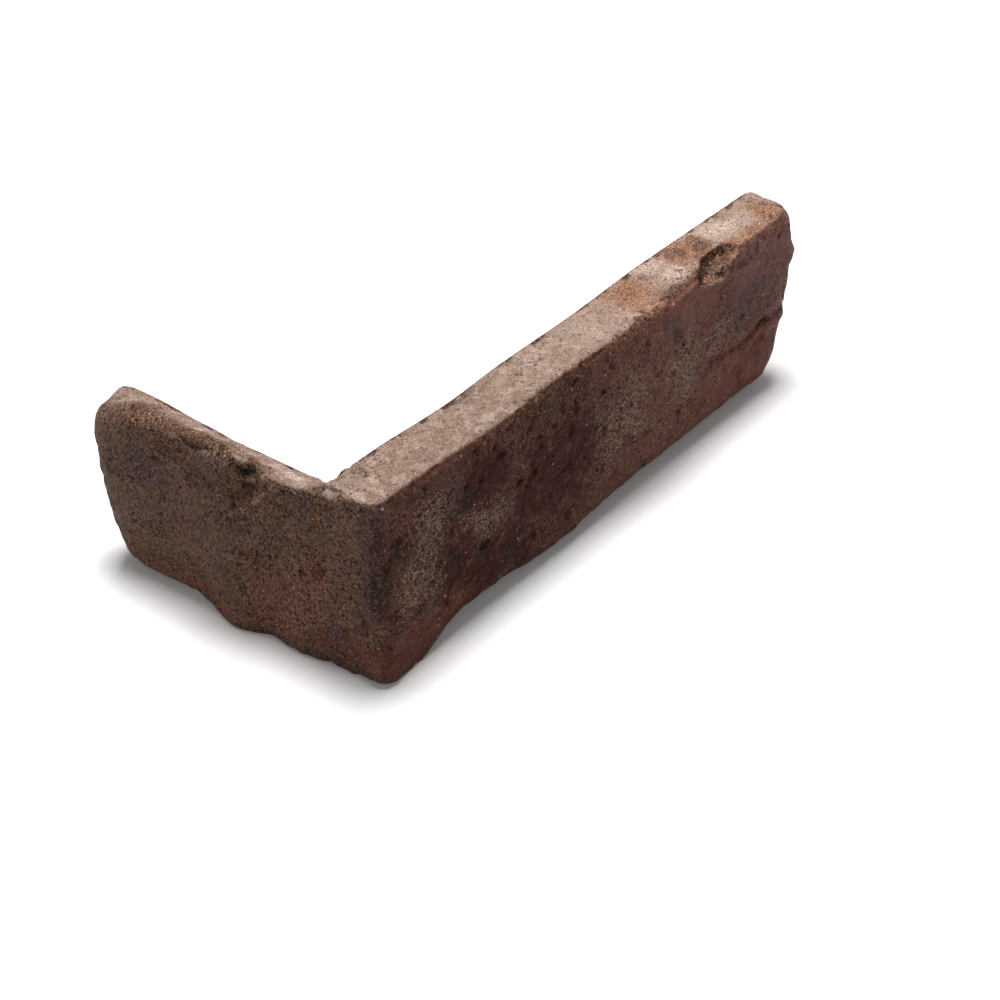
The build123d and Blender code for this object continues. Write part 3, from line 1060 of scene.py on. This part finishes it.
class Finish:
    """A node material that is built up in coats on Object coordinates."""

    # A grain of grit is whole up to this share of its radius
    SOFT_RIM = 0.6

    def __init__(self, name: str) -> None:
        """Makes the empty material and reads the coordinates.

        Args:
            name: the material's name.
        """
        self.material = bpy.data.materials.new(name)
        self.material.use_nodes = True
        self.tree = self.material.node_tree
        self.tree.nodes.clear()
        self.place = add_node(self.tree, "TexCoord").outputs["Object"]

    def masks(self, name: str) -> tuple[Socket, ...]:
        """The three shares that an attribute of the mesh holds."""
        vector = add_node(self.tree, "Attribute", attribute_name=name).outputs["Vector"]
        return tuple(add_node(self.tree, "SeparateXYZ", {"Vector": vector}).outputs)

    def texture(self, kind: str, size: float, **inputs: float) -> bpy.types.Node:
        """Adds a texture whose longest waves, or cells, are about this size in millimetres."""
        return add_node(self.tree, kind, {"Vector": self.place, "Scale": 1.0 / (size * MM), **inputs})

    def sand(self, size: float) -> tuple[Socket, Socket, Socket]:
        """Grains of sand that lie close together, as the cells of a Voronoi pattern.

        Args:
            size: a grain's size in millimetres.

        Returns:
            How far a point is from its grain's middle, in grain sizes, and two random numbers that
            are the same all over a grain.
        """
        cell = self.texture("TexVoronoi", size)
        chances = add_node(self.tree, "SeparateColor", {0: cell.outputs["Color"]})
        return cell.outputs["Distance"], chances.outputs[0], chances.outputs[1]

    def grit(self, size: float, radius: float, rarity: float) -> Socket:
        """Round grains: the middle of a sand cell, in the share of the cells above rarity.

        Args:
            size: the distance between cells, in millimetres.
            radius: the radius of a grain, as a share of that.
            rarity: the cells' random number below which there is no grain.

        Returns:
            One on a grain and nothing off it.
        """
        middle, chance, _ = self.sand(size)
        chosen = add_node(self.tree, "Math", {0: chance, 1: rarity}, operation="GREATER_THAN")
        return self.product(Ramp(middle, radius, radius * self.SOFT_RIM), chosen.outputs[0])

    def product(self, *factors: Ramp | Socket | float) -> Socket:
        """Multiplies ramps, shares and numbers.

        Args:
            factors: what is multiplied. A ramp adds its own node.

        Returns:
            The product.
        """
        total = None
        for factor in factors:
            if isinstance(factor, Ramp):
                inputs = {"Value": factor.pattern, "From Min": factor.low, "From Max": factor.high}
                inputs["To Max"] = factor.most
                node = add_node(self.tree, "MapRange", inputs, interpolation_type="SMOOTHSTEP")
                factor = node.outputs["Result"]
            if total is not None:
                factor = add_node(self.tree, "Math", {0: total, 1: factor}, operation="MULTIPLY").outputs[0]
            total = factor
        return total

    def coat(self, under: Socket | str, over: Socket | str, *factors: Ramp | Socket | float) -> Socket:
        """Lays a colour on another, as thickly as the product of the factors says.

        Args:
            under: the colour below, as a link or in hex.
            over: the colour that is laid on it.
            factors: what decides how much of it shows.

        Returns:
            The mixed colour.
        """
        under, over = [linear(c) if isinstance(c, str) else c for c in (under, over)]
        inputs = {0: self.product(*factors), 6: under, 7: over}
        return add_node(self.tree, "Mix", inputs, data_type="RGBA").outputs[2]

    def done(
        self, colour: Socket, roughness: Socket, specular: float, *layers: tuple[Socket, float]
    ) -> bpy.types.Material:
        """Closes the material with its relief and its shader.

        Args:
            colour: the colour of the last coat.
            roughness: the roughness.
            specular: the shader's specular level.
            layers: heights, each with its depth in millimetres, stacked into one normal.

        Returns:
            The material.
        """
        inputs = {"Base Color": colour, "Roughness": roughness, "Specular IOR Level": specular}
        for height, depth in layers:
            relief = {"Height": height, "Distance": depth * MM, "Strength": 1.0}
            if "Normal" in inputs:
                relief["Normal"] = inputs["Normal"]
            inputs["Normal"] = add_node(self.tree, "Bump", relief).outputs["Normal"]
        shader = add_node(self.tree, "BsdfPrincipled", inputs)
        add_node(self.tree, "OutputMaterial", {"Surface": shader.outputs[0]})
        return self.material


@dataclass(frozen=True)
class WeatheredClay:
    """Sand-faced clay, fired dark and weathered: it gives the eye brown, maroon and slate patches,
    black pores, pale and orange grains, and a paler, dusty top.

    A noise is its longest waves in millimetres, its octaves and their roughness. A grit is the
    distance between its cells in millimetres, a grain's radius and the share of bare cells. The
    grit gain is how many more of the sand's grains gritty ground shows. The covers are how much of
    the pores and pale specks smeared and maroon ground hides, and the depths are those of the
    blotches, the mottle and the grains, in millimetres. Near-black painted shade is laid in its
    creases, hollows and chip, and at its outer corner.
    """

    patch: tuple[float, float, float] = (11.0, 4.0, 0.55)
    blotch: tuple[float, float, float] = (3.0, 3.0, 0.55)
    mottle: tuple[float, float, float] = (0.85, 3.0, 0.75)
    pores: tuple[float, float, float] = (1.5, 2.0, 0.5)
    # Grains of 0.3 mm are too fine to show, so they are drawn at 0.48 mm
    sand: float = 0.48
    black_grit: tuple[float, float, float] = (1.9, 0.26, 0.7)
    tan_grit: tuple[float, float, float] = (1.2, 0.24, 0.7)
    white_grit: tuple[float, float, float] = (3.1, 0.13, 0.75)
    brown: str = "#836352"
    umber: str = "#69503e"
    side: Tint = Tint("#4c261d", 0.85)
    plum: Tint = Tint("#86574b", 0.85)
    rolled: Tint = Tint("#8a6b5f", 0.7)
    red: Tint = Tint("#9c624d", 0.6)
    margin: Tint = Tint("#72473e", 0.85)
    violet: Tint = Tint("#8f6664", 0.75)
    slate: Tint = Tint("#624c4b", 0.85)
    sandy: Tint = Tint("#715547", 0.9)
    far_sandy: Tint = Tint("#9a7464", 0.9)
    rust: Tint = Tint("#7a5039", 0.8)
    maroon: Tint = Tint("#45130f", 0.95)
    # Near-black painted shade for creases, the outer corner and the chip
    char: str = "#2e1f1b"
    dust: str = "#dcc2b4"
    dust_dark: str = "#c3a598"
    near_dust: str = "#967c6e"
    orange: str = "#d08a60"
    lime: str = "#ffe2d0"
    # Near-black of the pores, also laid as painted shade where the relief sinks
    pore_and_shade: str = "#170f0d"
    top_gap: str = "#7a6052"
    pale: str = "#9c8370"
    side_pale: str = "#8f6250"
    pale_sand: str = "#cba690"
    red_sand: str = "#b06a42"
    top_sand: str = "#e2c8b4"
    grit_gain: float = 0.5
    smear_cover: float = 0.55
    maroon_cover: float = 0.9
    depths: tuple[float, float, float] = (0.8, 1.1, 0.8)
    specular: float = 0.05

    def material(self) -> bpy.types.Material:
        """Builds the material: patches of the outer faces, the dusty top, then pores, sand and grit.

        Returns:
            The material, which reads the tints from the mesh.
        """
        f = Finish("weathered_clay")
        dust, rust, slate = f.masks("dust_rust_slate")
        maroon, sandy, margin = f.masks("maroon_sandy_margin")
        orange, lime, far = f.masks("orange_lime_far")
        gritty, hollow, rolled = f.masks("gritty_sunk_shade_rolled")
        red, violet, char = f.masks("red_violet_shade")
        side, smeared, near = f.masks("side_smeared_near")
        patch, blotch, mottle, pores = [
            f.texture("TexNoise", size, Detail=octaves, Roughness=rough).outputs["Fac"]
            for size, octaves, rough in (self.patch, self.blotch, self.mottle, self.pores)
        ]
        middle, bright, sort = f.sand(self.sand)
        colour = f.coat(self.umber, self.brown, Ramp(patch, 0.35, 0.65))
        for tint, *masks in (
            (self.side, side),
            (self.plum, far),
            (self.rolled, rolled),
            (self.red, red),
            (self.margin, margin),
            (self.violet, violet),
            (self.slate, slate),
            (self.sandy, sandy, near),
            (self.far_sandy, sandy, far),
            (self.rust, rust),
            (self.maroon, maroon),
        ):
            colour = f.coat(colour, tint.code, *masks, Ramp(blotch, 0.2, 0.5, tint.most))
        top = f.coat(self.dust_dark, self.dust, Ramp(patch, 0.35, 0.65))
        top = f.coat(top, self.near_dust, near, Ramp(blotch, 0.7, 0.4, 0.8))
        top = f.coat(top, self.orange, orange, Ramp(blotch, 0.2, 0.5, 0.95))
        gap = f.coat(self.pore_and_shade, self.top_gap, dust)
        pale = f.coat(self.pale, self.side_pale, side)
        warm = add_node(f.tree, "Math", {0: rust, 1: orange}, operation="MAXIMUM").outputs[0]
        sand = f.coat(self.pale_sand, self.red_sand, warm, Ramp(sort, 0.2, 0.5, 0.9))
        sand = f.coat(sand, self.top_sand, dust, Ramp(sort, 0.4, 0.8, 0.7))
        thick, rough = [
            add_node(f.tree, "Math", {0: mask, 1: share, 2: level}, operation="MULTIPLY_ADD").outputs[0]
            for mask, share, level in ((gritty, self.grit_gain, bright), (smeared, -self.smear_cover, 1.0))
        ]
        inputs = {0: maroon, 1: -self.maroon_cover, 2: rough}
        even = add_node(f.tree, "Math", inputs, operation="MULTIPLY_ADD", use_clamp=True).outputs[0]
        for over, *factors in (
            (top, dust),
            (self.lime, lime, Ramp(blotch, 0.3, 0.55, 0.9)),
            # Painted shade: near-black laid where its mask says, most where the mottle is low
            (self.char, char, Ramp(mottle, 0.75, 0.45, 0.8)),
            (gap, rough, Ramp(mottle, 0.51, 0.38, 0.9), Ramp(dust, 2.0, 0.0)),
            (pale, even, Ramp(mottle, 0.52, 0.64, 0.75)),
            (sand, Ramp(thick, 0.82, 1.45, 0.9)),
            (gap, gritty, Ramp(bright, 0.35, 0.05, 0.85)),
            (gap, rough, f.grit(*self.black_grit)),
            (gap, rough, Ramp(pores, 0.37, 0.3, 0.9)),
            # Painted shade: the pore colour at half strength where the relief sinks
            (self.pore_and_shade, hollow, 0.5),
            (self.pale_sand, even, f.grit(*self.tan_grit), Ramp(mottle, 0.35, 0.6, 0.6)),
            (self.top_sand, f.grit(*self.white_grit), 0.65),
        ):
            colour = f.coat(colour, over, *factors)
        grains = f.product(Ramp(middle, 0.8, 0.1), bright, gritty)
        roughness = f.product(Ramp(mottle, 0.0, 1.0))
        return f.done(colour, roughness, self.specular, *zip((blotch, mottle, grains), self.depths))


@dataclass(frozen=True)
class SawnClay:
    """The brick's sawn inside: it gives the eye an orange-brown ground with cut grains of brick and
    sand, small dark voids and the faint curved marks of the saw.

    Its noises are given as the weathered clay's. The depths are those of the voids, the pits and
    the fine grain, in millimetres.
    """

    patch: tuple[float, float, float] = (16.0, 4.0, 0.55)
    blotch: tuple[float, float, float] = (4.0, 4.0, 0.6)
    lump: tuple[float, float, float] = (2.2, 3.0, 0.6)
    speck: tuple[float, float, float] = (1.2, 3.0, 0.65)
    fine: tuple[float, float, float] = (0.5, 2.0, 0.6)
    sand: float = 1.1
    ground: str = "#a36e55"
    cloud: str = "#8c5a46"
    pale: str = "#bd8f74"
    grog: str = "#74443a"
    iron: str = "#4a302a"
    void: str = "#2d1d19"
    dust: str = "#c4a28c"
    depths: tuple[float, float, float] = (0.6, 0.35, 0.1)
    specular: float = 0.2

    def material(self) -> bpy.types.Material:
        """Builds the material: clouds, cut grains, specks of iron, and voids.

        Returns:
            The material.
        """
        f = Finish("sawn_clay")
        patch, blotch, lump, speck, fine = [
            f.texture("TexNoise", size, Detail=octaves, Roughness=rough).outputs["Fac"]
            for size, octaves, rough in (self.patch, self.blotch, self.lump, self.speck, self.fine)
        ]
        _, bright, sort = f.sand(self.sand)
        colour = self.ground
        for over, *factors in (
            (self.cloud, Ramp(patch, 0.35, 0.65)),
            (self.grog, Ramp(blotch, 0.55, 0.75, 0.45)),
            (self.pale, Ramp(lump, 0.6, 0.72, 0.6)),
            (self.dust, Ramp(fine, 0.45, 0.75, 0.35)),
            (self.dust, Ramp(bright, 0.8, 1.0, 0.5)),
            (self.iron, Ramp(sort, 0.9, 0.96), Ramp(bright, 0.6, 0.1, 0.7)),
            (self.void, Ramp(speck, 0.4, 0.28, 0.9)),
            (self.void, Ramp(lump, 0.34, 0.26, 0.8)),
        ):
            colour = f.coat(colour, over, *factors)
        voids, pits = f.product(Ramp(lump, 0.24, 0.36)), f.product(Ramp(speck, 0.26, 0.42))
        roughness = f.product(Ramp(fine, 0.0, 1.0, 0.95))
        return f.done(colour, roughness, self.specular, *zip((voids, pits, fine), self.depths))


class DressedCorner:
    """The piece itself: the corner's worn surface as one closed mesh, with its tints and materials."""

    def __init__(self, corner: BrickCorner, wear: ClayWear, tints: ClayTints) -> None:
        """Keeps what shapes and tints the corner.

        Args:
            corner: the corner's form.
            wear: the relief of its clay.
            tints: where each tint lies.
        """
        self.corner = corner
        self.wear = wear
        self.tints = tints

    def closed(self, skin: Skin) -> tuple[np.ndarray, np.ndarray, np.ndarray, np.ndarray]:
        """Joins the grid's sections and its two poles into a closed shell.

        Corner (i, j) of the grid is point i * around + j. A face runs from section i to i + 1 and
        from place j to j + 1, the last place joined to the first, and a fan of triangles closes
        each end on its pole.

        Args:
            skin: the worn surface.

        Returns:
            The points and poles, the corners of all faces, the corners in each face, and each
            face's material number.
        """
        points, sawn = skin.points, skin.kinds == Side.SAWN.value
        rows, around = points.shape[:2]
        poles = points[[0, -1]].mean(axis=1)
        i, j = np.meshgrid(np.arange(rows - 1), np.arange(around), indexing="ij")
        here, after = i * around, (j + 1) % around
        quads = np.stack([here + j, here + around + j, here + around + after, here + after], -1)
        place = np.arange(around)
        then = (place + 1) % around
        last = (rows - 1) * around
        first_fan = np.stack([place * 0 + rows * around, place, then], -1)
        last_fan = np.stack([place * 0 + rows * around + 1, last + then, last + place], -1)
        corners = np.concatenate([quads.ravel(), first_fan.ravel(), last_fan.ravel()])
        totals = np.concatenate([np.full(i.size, 4), np.full(2 * around, 3)])
        cut = sawn[i, after] & sawn[i + 1, after]
        closing = (j == around - 1) & sawn[i, j] & sawn[i + 1, j]
        slots = np.concatenate([(cut | closing).ravel() * 1, np.zeros(2 * around, int)])
        return np.concatenate([points.reshape(-1, 3), poles]), corners, totals, slots

    def shell(self, skin: Skin) -> bpy.types.Mesh:
        """Puts the closed shell into a mesh, seated in the part's frame.

        Args:
            skin: the worn surface.

        Returns:
            The smooth-shaded mesh.
        """
        points, corners, totals, slots = self.closed(skin)
        mesh = bpy.data.meshes.new("dressed_corner")
        mesh.vertices.add(len(points))
        mesh.vertices.foreach_set("co", (points * MM + self.corner.seat()).astype(np.float32).ravel())
        mesh.loops.add(len(corners))
        mesh.loops.foreach_set("vertex_index", corners.astype(np.int32))
        mesh.polygons.add(len(totals))
        starts = np.concatenate([[0], np.cumsum(totals)[:-1]])
        mesh.polygons.foreach_set("loop_start", starts.astype(np.int32))
        mesh.polygons.foreach_set("material_index", slots.astype(np.int32))
        mesh.polygons.foreach_set("use_smooth", np.ones(len(totals), bool))
        mesh.update(calc_edges=True)
        mesh.validate()
        return mesh

    def build(self) -> bpy.types.Object:
        """Makes the mesh and gives it its tints and materials.

        Returns:
            The dressed corner, riding on the part's body.
        """
        skin = self.corner.surface(self.wear)
        mesh = self.shell(skin)
        for name, shares in self.tints.masks(skin).items():
            flat = np.concatenate([shares.reshape(-1, 3), shares[[0, -1]].mean(axis=1)])
            attribute = mesh.attributes.new(name, "FLOAT_VECTOR", "POINT")
            attribute.data.foreach_set("vector", flat.astype(np.float32).ravel())
        mesh.materials.append(WeatheredClay().material())
        mesh.materials.append(SawnClay().material())
        piece = bpy.data.objects.new("dressed_corner", mesh)
        bpy.context.collection.objects.link(piece)
        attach(piece, "root")
        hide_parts(NODE)
        return piece


@dataclass(frozen=True)
class Floor:
    """A wide matt floor that the camera sees as white, with the corner's soft shadow on it.

    It glows a little where the corner stands, and more between two distances from the middle, in
    metres, so that it is as white as the world behind it.
    """

    half: float = 3.0
    paint: str = "#d2cdcb"
    seen_paint: str = "#fcfafa"
    glow: float = 0.06
    bright_from: float = 0.35
    bright_to: float = 0.9

    def build(self) -> bpy.types.Object:
        """Makes the floor, whose whiter paint and glow only the camera sees.

        Returns:
            The floor.
        """
        rows = np.array([[-1, -1, 0], [1, -1, 0], [1, 1, 0], [-1, 1, 0]]) * self.half
        mesh = bpy.data.meshes.new("floor")
        mesh.from_pydata(rows.tolist(), [], [(0, 1, 2, 3)])
        material = bpy.data.materials.new("floor_paint")
        material.use_nodes = True
        tree = material.node_tree
        tree.nodes.clear()
        seen = seen_directly(tree)
        paints = {0: seen, 6: linear(self.paint), 7: linear(self.seen_paint)}
        paint = add_node(tree, "Mix", paints, data_type="RGBA")
        matt = add_node(tree, "BsdfDiffuse", {"Color": paint.outputs[2]})
        place = add_node(tree, "TexCoord").outputs["Object"]
        away = add_node(tree, "VectorMath", {0: place}, operation="LENGTH").outputs["Value"]
        rise = {"Value": away, "From Min": self.bright_from, "From Max": self.bright_to, "To Min": self.glow}
        level = add_node(tree, "MapRange", rise, interpolation_type="SMOOTHSTEP").outputs["Result"]
        strength = add_node(tree, "Math", {0: seen, 1: level}, operation="MULTIPLY")
        glow = add_node(tree, "Emission", {"Strength": strength.outputs[0]})
        both = add_node(tree, "AddShader", {0: matt.outputs[0], 1: glow.outputs[0]})
        add_node(tree, "OutputMaterial", {"Surface": both.outputs[0]})
        mesh.materials.append(material)
        floor = bpy.data.objects.new("floor", mesh)
        bpy.context.collection.objects.link(floor)
        return floor


@dataclass(frozen=True)
class SoftLamp:
    """A square lamp that points at the corner."""

    name: str
    place: tuple[float, float, float]
    size: float
    power: float

    def build(self) -> bpy.types.Object:
        """Hangs the lamp.

        Returns:
            The lamp, turned to the middle of the part.
        """
        data = bpy.data.lights.new(self.name, "AREA")
        data.shape = "SQUARE"
        data.size = self.size
        data.energy = self.power
        lamp = bpy.data.objects.new(self.name, data)
        lamp.location = self.place
        lamp.rotation_euler = (-Vector(self.place)).to_track_quat("-Z", "Y").to_euler()
        bpy.context.collection.objects.link(lamp)
        return lamp


@dataclass(frozen=True)
class Studio:
    """The pale room round the corner: its lamps, and a world that the camera sees as white."""

    lamps: tuple[SoftLamp, ...] = (
        SoftLamp("key_above_behind", (0.12, 0.08, 1.3), 0.5, 22.5),
        SoftLamp("fill_in_front", (-1.0, -0.8, 0.7), 1.0, 0.9),
    )
    sky: float = 0.17

    def build(self) -> None:
        """Hangs the lamps and sets the world's light."""
        for lamp in self.lamps:
            lamp.build()
        world = bpy.data.worlds.new("studio")
        bpy.context.scene.world = world
        world.use_nodes = True
        tree = world.node_tree
        tree.nodes.clear()
        strength = add_node(tree, "MapRange", {"Value": seen_directly(tree), "To Min": self.sky})
        white = (1.0, 1.0, 1.0, 1.0)
        light = add_node(tree, "Background", {"Color": white, "Strength": strength.outputs["Result"]})
        add_node(tree, "OutputWorld", {"Surface": light.outputs[0]})


@dataclass(frozen=True)
class Camera:
    """The photograph's view: where it stands from the outer corner, in millimetres, and its axes."""

    place: tuple[float, float, float] = (-321.753, -308.856, 377.914)
    right: tuple[float, float, float] = (0.62577, -0.77961, -0.02476)
    down: tuple[float, float, float] = (-0.46539, -0.34770, -0.81395)
    forward: tuple[float, float, float] = (0.62595, 0.52087, -0.58041)
    lens: float = 79.2
    sensor: float = 36.0
    clip: tuple[float, float] = (0.01, 20.0)

    def build(self, seat: Vector) -> bpy.types.Object:
        """Sets up the camera.

        Args:
            seat: where the outer corner's foot is in the part's frame, in metres.

        Returns:
            The scene's camera.
        """
        data = bpy.data.cameras.new("camera")
        data.lens = self.lens
        data.sensor_width = self.sensor
        data.clip_start, data.clip_end = self.clip
        camera = bpy.data.objects.new("camera", data)
        axes = Matrix((self.right, -Vector(self.down), -Vector(self.forward))).transposed()
        camera.matrix_world = Matrix.Translation(Vector(self.place) * MM + seat) @ axes.to_4x4()
        bpy.context.collection.objects.link(camera)
        bpy.context.scene.camera = camera
        return camera


def main() -> None:
    """Builds the corner, its floor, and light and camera."""
    logging.basicConfig(level=logging.INFO, format="%(message)s")
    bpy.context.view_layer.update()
    corner = BrickCorner(CornerSizes(), ShortLegWear(), LongLegWear(), Chip(), MeshCounts())
    piece = DressedCorner(corner, ClayWear(), ClayTints()).build()
    LOG.info("%s: %d faces", piece.name, len(piece.data.polygons))
    Floor().build()
    Studio().build()
    Camera().build(Vector(corner.seat()))
    scene = bpy.context.scene
    scene.view_settings.view_transform = "Standard"


if __name__ == "__main__":
    main()
